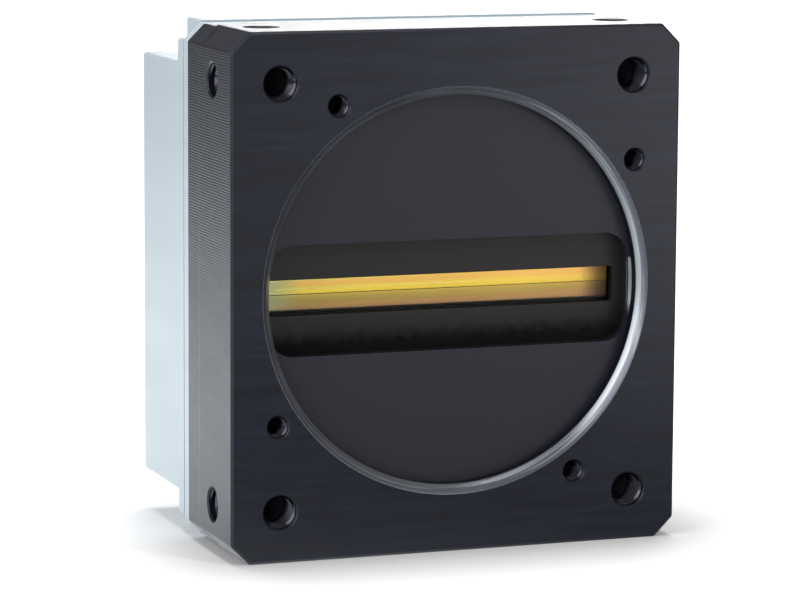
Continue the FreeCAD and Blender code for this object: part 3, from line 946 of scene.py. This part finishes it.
@dataclass
class ThreadPlan:
    """Where the tapped holes are, in millimetres of the design frame."""

    corner_x: float = 22.0
    corner_z: float = 25.0
    lens_r: float = 26.8
    lens_angle: float = 33.8
    flank_x: float = 28.0
    flank_ys: Pair = (7.3, 8.0)
    end_y: float = 7.3
    end_z: float = 31.0
    lock: Point = (13.4, 36.7, -11.5)

    def groups(self) -> list[ThreadedHoles]:
        """Groups of holes: front corners, lens screws, flanks, top and bottom, jack locks.

        Returns:
            The groups, in the design frame.
        """
        back = (0.0, 1.0, 0.0)
        xs, zs = (-self.corner_x, self.corner_x), (-self.corner_z, self.corner_z)
        front = [((x, 0.0, z), back) for x in xs for z in zs]
        turns = [math.radians(self.lens_angle + 90.0 * quarter) for quarter in range(4)]
        lens = [((self.lens_r * math.cos(a), 0.0, self.lens_r * math.sin(a)), back) for a in turns]
        sides = zip((-1.0, 1.0), self.flank_ys)
        flanks = [((self.flank_x * s, y, z), (-s, 0.0, 0.0)) for s, y in sides for z in zs]
        ends = [((x, self.end_y, self.end_z * s), (0.0, 0.0, -s)) for s in (-1.0, 1.0) for x in xs]
        lock_x, lock_y, lock_z = self.lock
        locks = [((x, lock_y, lock_z), (0.0, -1.0, 0.0)) for x in (-lock_x, lock_x)]
        return [
            ThreadedHoles("front_threads", Thread.M4, 4.8, front),
            ThreadedHoles("lens_screw_threads", Thread.M25, 4.5, lens),
            ThreadedHoles("flank_threads", Thread.M4, 3.8, flanks),
            ThreadedHoles("top_bottom_threads", Thread.M4, 3.8, ends),
            ThreadedHoles("jack_lock_threads", Thread.M2, 4.0, locks, "silver_anodised", "silver_anodised"),
        ]


@dataclass
class LensRecess:
    """Bare chamfer of the round recess and the glint on the pocket's end, as skins on the metal."""

    wall_r: float = 23.1
    chamfer: float = 1.1
    floor: float = 2.5
    skin: float = 0.012
    edge: float = 0.05
    foot: Pair = (0.03, 0.02)
    mouth: Pair = (-0.005, 0.002)
    root: Pair = (0.1, 0.25)
    back: float = 0.3
    steps: int = 360
    pocket_end: float = 22.6
    glint_low: float = -4.15
    glint_high: float = 2.9
    glint_out: Point = (-0.02, -0.03, 0.3)
    glint_behind: Point = (0.15, -0.3, 0.6)
    glint_steps: int = 40

    def ring(self) -> np.ndarray:
        """Skin over the chamfer: front from the wall to the mouth, back inside the metal.

        The chamfer runs from (wall_r, chamfer) to (wall_r + chamfer, 0). The skin stands
        off it by skin, and foot, mouth, root and back place the points past its edges.

        Returns:
            Array of (radius, depth) pairs in millimetres.
        """
        s, e, deep, wall, rim = self.skin, self.edge, self.chamfer, self.wall_r, self.wall_r + self.chamfer
        front = [
            (wall - s, deep + self.foot[1]),
            (wall + self.foot[0] - s, deep - e - s),
            (rim - e - s, e - s),
            (rim + self.mouth[0], self.mouth[1]),
        ]
        back = [(rim + self.root[0], self.root[1]), (wall + self.back, deep + self.back)]
        return np.array(front + back)

    def glint(self) -> np.ndarray:
        """Bare bevel at the foot of the wall beside the pocket, a three-point profile carried along Z.

        One point stands by the pocket's end and two follow the wall, x = sqrt(wall_r^2 - z^2),
        each moved out by glint_out and back from the floor by glint_behind.

        Returns:
            Array of shape (glint_steps, 3, 3) in metres.
        """
        z = np.linspace(self.glint_low, self.glint_high, self.glint_steps)[:, None]
        wall = np.sqrt(self.wall_r**2 - z**2)
        x = np.concatenate([np.full_like(z, self.pocket_end), wall, wall], axis=1) + self.glint_out
        y = self.floor + np.array([self.glint_behind])
        return home(np.stack(np.broadcast_arrays(x, y, z), axis=-1))

    def build(self, paint: Paint) -> None:
        """Makes ring and glint.

        Args:
            paint: the finishes.
        """
        grid = turned_grid(self.ring()[::-1], np.zeros(3), np.array([0.0, 1.0, 0.0]), self.steps)
        ring = surface_object("recess_chamfer", [grid], Ends.LOOPED)
        paint.dress(ring, "bare_lip")
        glint = surface_object("pocket_bevel", [self.glint()], Ends.CAPPED, smooth=False)
        paint.dress(glint, "seam_metal")


@dataclass
class ModuleSeam:
    """Fine bright seam where the module's back band begins, along both flanks."""

    y: float = 12.4
    half_w: float = 27.94
    low: float = -28.2
    high: float = 28.2
    width: float = 0.13
    rise: float = 0.04
    bevel: float = 0.03
    sink: float = 0.03
    steps: int = 30

    def bead(self, side: int) -> np.ndarray:
        """Low ridge on one flank: a flat-topped profile carried along Z.

        Args:
            side: 1 for the right flank, -1 for the left.

        Returns:
            Array of shape (steps, 4, 3) in metres.
        """
        z = np.linspace(self.low, self.high, self.steps)[:, None]
        y = self.y + np.array([[0.0, self.bevel, self.width - self.bevel, self.width]])
        x = side * (self.half_w + np.array([[-self.sink, self.rise, self.rise, -self.sink]]))
        grid = home(np.stack(np.broadcast_arrays(x, y, z), axis=-1))
        return grid if side > 0 else grid[::-1]

    def build(self, paint: Paint) -> bpy.types.Object:
        """Makes one piece of both seams.

        Args:
            paint: the finishes.

        Returns:
            The piece.
        """
        piece = surface_object("module_seams", [self.bead(-1), self.bead(1)], Ends.CAPPED, smooth=False)
        return paint.dress(piece, "seam_metal")


@dataclass(frozen=True)
class Bar:
    """Place and size of one line on the sensor: width at its left end, taper to its right."""

    z: float
    width: float
    height: float
    left: float
    right: float
    taper: float = 1.0


@dataclass
class SensorLine:
    """Light-sensitive row and guide lines on the sensor's face."""

    face_y: float = 6.56
    sink: float = 0.02
    top_half: float = 0.42
    steps: int = 24
    row: tuple[Bar, ...] = (Bar(-0.42, 0.11, 0.008, -21.61, 21.61),)
    guides: tuple[Bar, ...] = (
        Bar(0.22, 0.09, 0.006, -20.46, 4.0, 0.35),
        Bar(1.24, 0.10, 0.006, -21.06, -2.0, 0.3),
    )

    def ridge(self, bar: Bar) -> np.ndarray:
        """Low ridge along the sensor: a flat-topped profile carried along X.

        Args:
            bar: its place and size.

        Returns:
            Array of shape (steps, 4, 3) in metres.
        """
        x = np.linspace(bar.left, bar.right, self.steps)[:, None]
        wide = bar.width * np.linspace(1.0, bar.taper, self.steps)[:, None]
        y = self.face_y + np.array([[self.sink, -bar.height, -bar.height, self.sink]])
        z = bar.z + wide * np.array([[-0.5, -self.top_half, self.top_half, 0.5]])
        return home(np.stack(np.broadcast_arrays(x, y, z), axis=-1))

    def build(self, paint: Paint) -> None:
        """Makes the lines.

        Args:
            paint: the finishes.
        """
        for name, bars, finish in (
            ("sensing_row", self.row, "dark_ceramic"), ("guide_lines", self.guides, "film_line")
        ):
            lines = surface_object(name, [self.ridge(bar) for bar in bars], Ends.CAPPED, smooth=False)
            paint.dress(lines, finish)


@dataclass
class ScrewHeads:
    """Knurled skirts round the heads of the housing screws."""

    half_x: float = 22.4
    half_z: float = 28.5
    seat: float = 25.6
    head_r: float = 2.2
    rim: float = 0.08
    rib_height: float = 0.05
    ribs: int = 30
    rib_steps: int = 6
    levels: tuple[float, ...] = (0.25, 0.3, 0.4, 1.8, 1.92, 1.97)

    def skirt(self, x: float, z: float) -> np.ndarray:
        """Knurl of one head.

        Radius = head_r + rib_height * (0.5 + 0.5 cos(ribs * t)) between two plain rims.

        Args:
            x: centre of the screw.
            z: centre of the screw.

        Returns:
            Array of shape (steps, 6, 3) in metres.
        """
        t = np.linspace(0.0, 2.0 * np.pi, self.ribs * self.rib_steps, endpoint=False)[:, None]
        plain = np.full_like(t, self.head_r)
        rib = plain + self.rib_height * (0.5 + 0.5 * np.cos(self.ribs * t))
        r = np.concatenate([plain - self.rim, plain, rib, rib, plain, plain - self.rim], axis=1)
        y = self.seat + np.array([self.levels])
        points = np.broadcast_arrays(x + r * np.cos(t), y, z + r * np.sin(t))
        return home(np.stack(points, axis=-1))[::-1]

    def build(self, paint: Paint) -> bpy.types.Object:
        """Makes one piece of all skirts.

        Args:
            paint: the finishes.

        Returns:
            The piece.
        """
        skirts = [self.skirt(i * self.half_x, j * self.half_z) for i in (-1, 1) for j in (-1, 1)]
        return paint.dress(surface_object("screw_knurls", skirts, Ends.LOOPED), "steel")


# ---- View and light ----


def posed(
    name: str, data: bpy.types.ID, axes: Sequence[np.ndarray], place: Sequence[float]
) -> bpy.types.Object:
    """Makes the object of a camera or a lamp and links it to the scene.

    Args:
        name: name of the object.
        data: the camera or the light.
        axes: unit vectors that its own X, Y and Z point along.
        place: its position in metres.

    Returns:
        The object.
    """
    made = bpy.data.objects.new(name, data)
    bpy.context.scene.collection.objects.link(made)
    matrix = np.eye(4)
    matrix[:3, :3] = np.stack(axes, axis=1)
    matrix[:3, 3] = place
    made.matrix_world = Matrix(matrix.tolist())
    return made


@dataclass
class Camera:
    """View of the product: turned and tilted about the middle of its front face.

    Angles are in radians and lengths in millimetres; clip is in metres.
    """

    turn: float = math.radians(20.206)
    tilt: float = math.radians(8.328)
    roll: float = math.radians(0.343)
    distance: float = 439.5
    right: float = 6.9
    down: float = -0.955
    lens: float = 168.525
    film: float = 36.0
    clip: Pair = (0.02, 20.0)

    def build(self) -> None:
        """Makes the render camera.

        Its axes = roll * tilt * turn applied to the row axes; the middle of the
        front face lies right, down and distance millimetres from it.
        """
        a, b, c = -self.turn, self.tilt, self.roll
        turn = np.array([[math.cos(a), 0, math.sin(a)], [0, 1, 0], [-math.sin(a), 0, math.cos(a)]])
        tilt = np.array([[1, 0, 0], [0, math.cos(b), -math.sin(b)], [0, math.sin(b), math.cos(b)]])
        roll = np.array([[math.cos(c), -math.sin(c), 0], [math.sin(c), math.cos(c), 0], [0, 0, 1]])
        base = np.array([[1.0, 0, 0], [0, 0, -1.0], [0, 1.0, 0]])
        full = roll @ tilt @ turn @ base
        where = -full.T @ np.array([self.right, self.down, self.distance])
        data = bpy.data.cameras.new("view")
        data.sensor_width = self.film
        data.lens = self.lens
        data.clip_start, data.clip_end = self.clip
        axes = (full[0], -full[1], -full[2])
        bpy.context.scene.camera = posed("view", data, axes, home(where))


@dataclass(frozen=True)
class Pool:
    """Painted pool of light: a patch of the floor that glows in reflections, full within one radius, gone at
    the other.
    """

    centre: Pair
    radii: Pair
    level: float


@dataclass(frozen=True)
class Lamp:
    """One soft rectangular lamp, in metres and watts."""

    name: str
    place: Point
    aim: Point
    size: Pair
    watts: float

    def build(self) -> None:
        """Makes the lamp, its own -Z turned from place to aim."""
        data = bpy.data.lights.new(self.name, "AREA")
        data.shape = "RECTANGLE"
        data.size, data.size_y = self.size
        data.energy = self.watts
        ahead = np.array(self.aim) - np.array(self.place)
        ahead /= np.linalg.norm(ahead)
        posed(self.name, data, (*across(-ahead), -ahead), self.place)


@dataclass
class Studio:
    """Pale floor, soft lamps and an even world.

    In reflections the floor glows grey, with painted pools of white light beside the product and in front of
    it.
    """

    footprint: tuple[Pair, Pair]
    floor_size: float = 12.0
    world_level: float = 0.42
    world_gloss: float = 0.28
    floor_colour: float = 0.95
    floor_gloss: float = 0.22
    cool: Tone = (0.93, 0.98, 1.0)
    lift: float = 0.35
    lift_from: float = 0.002
    lift_to: float = 0.023
    # Painted pools of light: floor patches that glow in reflections only.
    pools: tuple[Pool, ...] = (
        Pool((-0.15, 0.12), (0.13, 0.23), 1.95),
        Pool((0.105, -0.26), (0.08, 0.17), 1.40),
        Pool((0.165, -0.20), (0.05, 0.08), 1.4),
    )
    lamps: tuple[Lamp, ...] = (
        Lamp("left_softbox", (-0.80, -0.25, 0.42), (0.0, 0.0, 0.03), (0.7, 0.9), 4.0),
        Lamp("top_softbox", (0.02, 0.15, 0.90), (0.0, 0.0, 0.03), (0.42, 0.42), 4.6),
        Lamp("back_strip", (0.70, 1.10, 0.20), (0.0, 0.0, 0.06), (0.8, 0.18), 5.0),
        Lamp("right_card", (0.18, -0.26, 0.03), (0.02, -0.02, 0.03), (0.10, 0.16), 0.14),
        Lamp("front_fill", (0.45, -0.75, 0.75), (0.0, 0.0, 0.03), (0.14, 0.14), 1.4),
    )

    def distance(self, graph: Graph, centre: Sequence[float], half: Sequence[float]) -> Socket:
        """Distance on the floor from a rectangle: length of max(|p - centre| - half, 0).

        Args:
            graph: the floor's graph.
            centre: x and y of its middle in metres.
            half: half its width and depth.

        Returns:
            The value socket.
        """
        away = (-centre[0], -centre[1], 0.0)
        value = graph.add("ShaderNodeMapping", Vector=graph.place, Location=away).outputs["Vector"]
        zero = (0.0, 0.0, 0.0)
        for operation, other in (("ABSOLUTE", zero), ("SUBTRACT", (*half, 0.0)), ("MAXIMUM", zero)):
            step = graph.add("ShaderNodeVectorMath", Vector=value)
            step.operation = operation
            step.inputs[1].default_value = other
            value = step.outputs["Vector"]
        return graph.length(value)

    def floor(self) -> None:
        """Makes the floor: matt white that keeps the shadow, lifted to plain white farther away, glowing in
        reflections with painted pools of light.
        """
        half = self.floor_size / 2
        mesh = bpy.data.meshes.new("floor")
        corners = [(-half, -half, 0), (half, -half, 0), (half, half, 0), (-half, half, 0)]
        mesh.from_pydata(corners, [], [(0, 1, 2, 3)])
        plane = bpy.data.objects.new("floor", mesh)
        bpy.context.scene.collection.objects.link(plane)
        graph = Graph("floor_white")
        path = graph.add("ShaderNodeLightPath")
        seen, shiny = path.outputs["Is Camera Ray"], path.outputs["Is Glossy Ray"]
        level = graph.math("MULTIPLY", graph.math("SUBTRACT", 1.0, shiny), self.floor_colour)
        matt = graph.add("ShaderNodeBsdfDiffuse", Color=level)
        low, high = np.array(self.footprint)
        away = self.distance(graph, (low + high) / 2, (high - low) / 2)
        lift = graph.spread(away, 0.0, self.lift, self.lift_from, self.lift_to)
        shine = self.floor_gloss
        # Painted pools of light, seen only in reflections.
        for pool in self.pools:
            reach = self.distance(graph, pool.centre, (0.0, 0.0))
            shine = graph.math("ADD", shine, graph.spread(reach, pool.level, 0.0, *pool.radii))
        strength = graph.math("ADD", graph.math("MULTIPLY", seen, lift), graph.math("MULTIPLY", shiny, shine))
        tint = graph.ramp(seen, ((0.0, self.cool), (1.0, (1.0, 1.0, 1.0))))
        glow = graph.add("ShaderNodeEmission", Color=tint, Strength=strength)
        both = graph.add("ShaderNodeAddShader")
        graph.tree.links.new(matt.outputs[0], both.inputs[0])
        graph.tree.links.new(glow.outputs[0], both.inputs[1])
        mesh.materials.append(graph.surface(both))
        plane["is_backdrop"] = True

    def world(self) -> None:
        """Makes the world: even light, plain white where the viewer sees it, greyer in reflections."""
        world = bpy.data.worlds.new("studio")
        world.use_nodes = True
        bpy.context.scene.world = world
        tree = world.node_tree
        tree.nodes.clear()
        path = tree.nodes.new("ShaderNodeLightPath")
        gloss = tree.nodes.new("ShaderNodeMapRange")
        gloss.inputs["To Min"].default_value = self.world_level
        gloss.inputs["To Max"].default_value = self.world_gloss
        tree.links.new(path.outputs["Is Glossy Ray"], gloss.inputs["Value"])
        level = tree.nodes.new("ShaderNodeMapRange")
        level.inputs["To Max"].default_value = 1.0
        tree.links.new(gloss.outputs["Result"], level.inputs["To Min"])
        tree.links.new(path.outputs["Is Camera Ray"], level.inputs["Value"])
        glow = tree.nodes.new("ShaderNodeBackground")
        glow.inputs["Color"].default_value = (1.0, 1.0, 1.0, 1.0)
        tree.links.new(level.outputs["Result"], glow.inputs["Strength"])
        out = tree.nodes.new("ShaderNodeOutputWorld")
        tree.links.new(glow.outputs[0], out.inputs["Surface"])

    def build(self) -> None:
        """Makes floor, world and lamps."""
        self.floor()
        self.world()
        for lamp in self.lamps:
            lamp.build()


def main() -> None:
    """Builds every piece, dresses the CAD nodes and sets the studio."""
    logging.basicConfig(level=logging.INFO, format="%(message)s")
    solid_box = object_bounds()
    paint = Paint()
    for part in frame["record"]["subparts"]:
        finish = NODE_FINISHES.get(part["node"], part["material_slot"])
        paint.dress_node(part["node"], finish)
    for group in ThreadPlan().groups():
        group.build(paint)
    LensRecess().build(paint)
    SensorLine().build(paint)
    ModuleSeam().build(paint)
    ScrewHeads().build(paint)
    Camera().build()
    Studio((solid_box[0][:2], solid_box[1][:2])).build()
    bpy.context.scene.view_settings.view_transform = "Standard"


if __name__ == "__main__":
    main()
